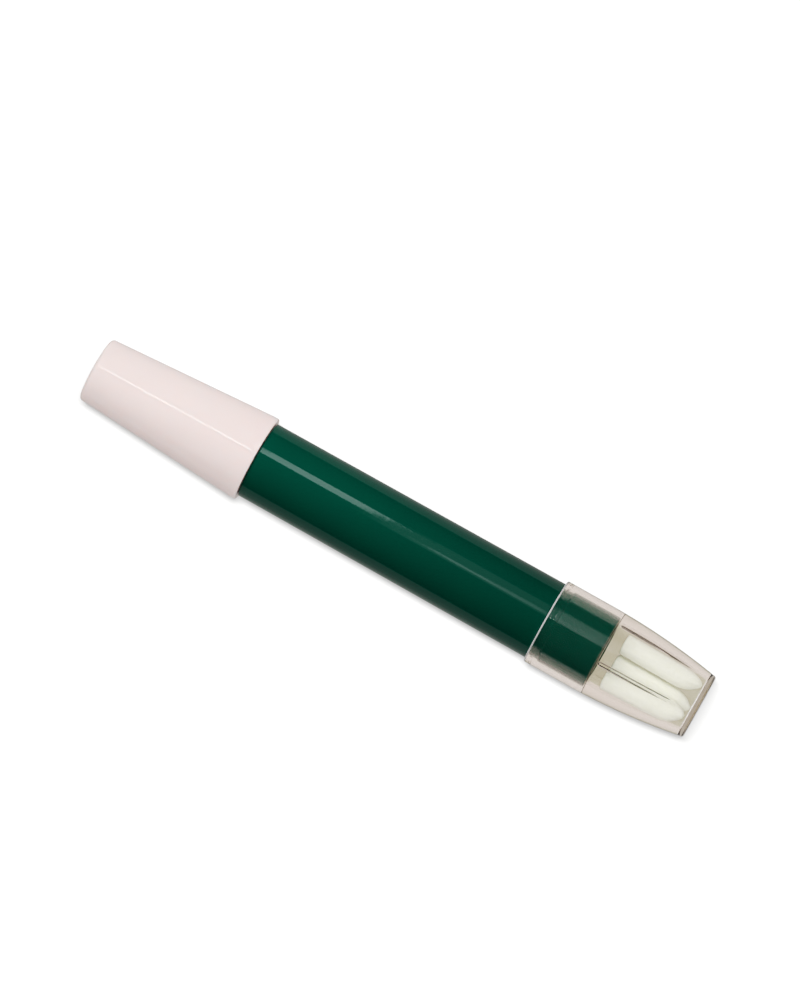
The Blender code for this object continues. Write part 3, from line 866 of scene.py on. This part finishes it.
def panel_of(name, corners, faces, finish):
    """A thing in the studio, which isn't part of the pen, from its corners in metres."""
    mesh = bpy.data.meshes.new(name)
    mesh.from_pydata(corners, [], faces)
    made = bpy.data.objects.new(name, mesh)
    bpy.context.scene.collection.objects.link(made)
    made.data.materials.append(finish)
    return made


def card(name, low, high, height, finish):
    """A flat rectangle that faces up."""
    corners = [(low[0], low[1]), (high[0], low[1]), (high[0], high[1]), (low[0], high[1])]
    return panel_of(name, [(*corner, height) for corner in corners], [(0, 1, 2, 3)], finish)


def glowing(name, tint, strength):
    """A black finish with an even glow of its own."""
    return finish_of(
        name, Base_Color=(0.0, 0.0, 0.0, 1.0), Roughness=1.0,
        Emission_Color=(*tint, 1.0), Emission_Strength=strength,
    )[0]


# White laminate, overexposed: its own glow keeps it white in the pen's soft shadow
laminate, shader, place = finish_of(
    "white_laminate", Roughness=0.6,
    Emission_Color=(1.0, 1.0, 1.0, 1.0), Emission_Strength=0.32,
)
mottle = add_node(laminate, "ShaderNodeTexNoise", {"Vector": place, "Scale": 40.0, "Detail": 4.0})
tone = add_node(
    laminate, "ShaderNodeMix",
    {"Factor": mottle.outputs["Fac"], "A": colour("696968"), "B": colour("6f6f6e")},
    data_type="RGBA",
)
wire(laminate, shader, Base_Color=tone.outputs["Result"])
table = card("studio_table", (-3.0, -3.0), (3.0, 3.0), 0.0, laminate)
seen_only_by(table, "camera", "transmission", "volume_scatter")

# In order: the grey table as reflections see it, its white light on the pen's near side, and a
# dim broad panel whose reflection lies along the pen's tail end. Then the dimmer table a little
# way off on both sides, which the clear cap's thick sides look at, and between them the shaded
# strip of it under the pen, which shows through the chamber.
STRIP = 0.0092
for name, finish, low, high, height, tint, glow, kinds in (
    (
        "studio_card", "grey_card", (-0.6, -0.214), (0.6, 0.092), -0.001,
        (1.0, 0.97, 0.93), 0.26, ("glossy",),
    ),
    (
        "bounce_card", "white_card", (-0.3, -0.3), (0.3, -0.003), -0.0008,
        (1.0, 0.97, 0.96), 0.45, ("diffuse",),
    ),
    (
        "ceiling_card", "pale_ceiling", (-0.085, 0.22), (0.65, 1.06), 1.1,
        (1.0, 0.97, 0.95), 0.26, ("glossy", "transmission"),
    ),
    (
        "front_card", "front_card", (-0.5, -0.5), (0.5, -STRIP), 0.0001,
        (1.0, 0.88, 0.81), 0.62, ("transmission",),
    ),
    (
        "under_card", "under_card", (-0.5, -STRIP), (0.0662, STRIP), 0.0001,
        (1.0, 0.935, 0.72), 0.385, ("transmission",),
    ),
    (
        "back_card", "back_card", (-0.5, STRIP), (0.5, 0.5), 0.0001,
        (1.0, 0.88, 0.81), 0.62, ("transmission",),
    ),
):
    seen_only_by(card(name, low, high, height, glowing(finish, tint, glow)), *kinds)

# The studio's wall, a ring that is low at the pen's sides and high past its ends, as the clear
# cap sees it: its top rises where the cosine of the bearing goes from a half to 0.7
WALL_PANELS, WALL_RADIUS, WALL_LOW, WALL_RISE = 72, 1.6, 0.15, 1.05
bearing = np.linspace(0.0, 2 * math.pi, WALL_PANELS, endpoint=False)
wall_top = WALL_LOW + WALL_RISE * ease((np.abs(np.cos(bearing)) - 0.5) / 0.2)
wall_rows = [
    np.stack([WALL_RADIUS * np.cos(bearing), WALL_RADIUS * np.sin(bearing), height], axis=-1)
    for height in (np.zeros(WALL_PANELS), wall_top)
]
first = np.arange(WALL_PANELS)
following = np.roll(first, -1)
wall_faces = np.stack([first, following, WALL_PANELS + following, WALL_PANELS + first], axis=1)
wall = panel_of(
    "studio_wall", np.concatenate(wall_rows).tolist(), wall_faces.tolist(),
    glowing("grey_wall", (1.0, 0.95, 0.91), 0.4),
)
seen_only_by(wall, "transmission")

sky = bpy.data.worlds.new("studio_surround")
sky.use_nodes = True
sky.node_tree.nodes["Background"].inputs["Color"].default_value = (1.0, 0.985, 0.97, 1.0)
sky.node_tree.nodes["Background"].inputs["Strength"].default_value = 0.95
bpy.context.scene.world = sky
for kind in ("diffuse", "glossy", "transmission", "scatter"):
    setattr(sky.cycles_visibility, kind, False)


def lamp(name, low, high, height, radiance, tint=(1.0, 1.0, 1.0), up=False):
    """A rectangular lamp that faces down, or up, from its corners in metres and its radiance."""
    light = bpy.data.lights.new(name, "AREA")
    light.shape = "RECTANGLE"
    light.size, light.size_y = high[0] - low[0], high[1] - low[1]
    light.energy = radiance * math.pi * light.size * light.size_y
    light.color = tint
    made = bpy.data.objects.new(name, light)
    made.location = ((low[0] + high[0]) / 2, (low[1] + high[1]) / 2, height)
    made.rotation_euler.x = math.pi if up else 0.0
    bpy.context.scene.collection.objects.link(made)
    return made


def limit(light, part, pieces):
    """Limits what a lamp lights, its "receiver", or what shades it, its "blocker", to some pieces.

    This does what a flag and a snoot do in a studio.
    """
    group = bpy.data.collections.new(f"{light.name}_{part}")
    for piece in pieces:
        group.objects.link(piece)
    setattr(light.light_linking, f"{part}_collection", group)


# A small key over the pen's far side and a broad fill light the pen. The rest light one thing each:
# the table, the spare nibs, and the pink cap from the table's side and from above.
NEUTRAL, WARM = (1.0, 0.99, 0.98), (1.0, 0.97, 0.96)
key = lamp("key_light", (-0.11, 0.02), (0.01, 0.12), 0.1, 1.72, NEUTRAL)
fill = lamp("fill_light", (-1.2, -1.2), (1.2, 1.2), 1.15, 0.48, NEUTRAL)
table_light = lamp("table_light", (-0.2, 0.035), (0.2, 0.215), 1.5, 534.0)
nib_light = lamp("nib_light", (-0.2, -0.22), (0.3, 0.28), 0.3, 1.05, (0.9, 0.92, 0.86))
cap_light = lamp("cap_light", (-0.35, -0.3), (0.25, 0.3), -0.001, 1.0, WARM, up=True)
cap_top = lamp("cap_top", (-0.25, -0.14), (0.1, 0.03), 0.25, 1.1)
limit(table_light, "receiver", [table])
limit(nib_light, "receiver", spares)
limit(cap_light, "receiver", [cap])
limit(cap_top, "receiver", [cap])

# The clear cap and the film shade nothing from the key, the fill and the nib light: they let that
# light through to what is inside
for light in (key, fill, nib_light):
    limit(light, "blocker", [barrel, plug, holder, nib, liner, cap, *spares])
for light in (key, fill, table_light, nib_light, cap_light, cap_top):
    light.visible_glossy = light.visible_transmission = light.visible_camera = False

# Each tube crosses the pen between two stations, and lies between two angles from straight up, so
# that its reflection is a bright line along the plastic
TUBE_HEIGHT = 1.0
for name, x, angles, radiance in (
    ("tube_left", (-0.14, -0.084), (21.8, 37.6), 1.9),
    ("tube_right", (-0.058, -0.034), (16.0, 21.5), 0.85),
    ("tube_end", (-0.034, -0.012), (15.5, 24.0), 0.56),
    ("tube_tail", (-0.012, 0.030), (14.5, 24.0), 0.07),
    ("tube_cap", (-0.33, -0.22), (11.8, 15.5), 7.0),
):
    near, far = (TUBE_HEIGHT * math.tan(math.radians(angle)) for angle in angles)
    lamp(name, (x[0], near), (x[1], far), TUBE_HEIGHT, radiance)


# ---- Camera ----
# It looks down with a long lens from 1.48 m, a little towards the clear cap, turned so that the
# pen runs across the picture from top left to bottom right.

CAMERA_DISTANCE, AIM_RIGHT, AIM_UP = 1.48, 0.00078, 0.0072
camera = bpy.data.cameras.new("view")
camera.lens, camera.sensor_width = 274.0, 36.0
camera.clip_start, camera.clip_end = 0.05, 20.0
tilt, roll = math.radians(3.6), math.radians(29.25)
forward = Vector((-math.sin(tilt), 0.0, -math.cos(tilt)))
level = Vector((math.cos(tilt), 0.0, -math.sin(tilt)))
across = Vector((0.0, 1.0, 0.0))
right = level * math.cos(roll) + across * math.sin(roll)
up = -level * math.sin(roll) + across * math.cos(roll)
pen_axis = Vector((0.0, 0.0, AXIS_HEIGHT / 1000))
stand = pen_axis + right * AIM_RIGHT + up * AIM_UP - forward * CAMERA_DISTANCE
eye = bpy.data.objects.new("view", camera)
eye.matrix_world = Matrix.Translation(stand) @ Matrix((right, up, -forward)).transposed().to_4x4()
bpy.context.scene.collection.objects.link(eye)
bpy.context.scene.camera = eye

view = bpy.context.scene.view_settings
view.view_transform = "Standard"
view.look = "None"

# The camera's own response: dark tones are held down and light ones roll off towards white. A
# tone is 5 x^1.5 over the cube root of 1 + (5 x)^3, where x is the light, from 0 to 1.
RESPONSE_POINTS = 16
view.use_curve_mapping = True
response = view.curve_mapping.curves[3]
for number in range(1, RESPONSE_POINTS + 1):
    light = (number / RESPONSE_POINTS) ** 2
    shown = 5 * light ** 1.5 / (1 + (5 * light) ** 3) ** (1 / 3)
    if number == RESPONSE_POINTS:
        response.points[-1].location = (1.0, shown)
    else:
        response.points.new(light, shown)
view.curve_mapping.update()
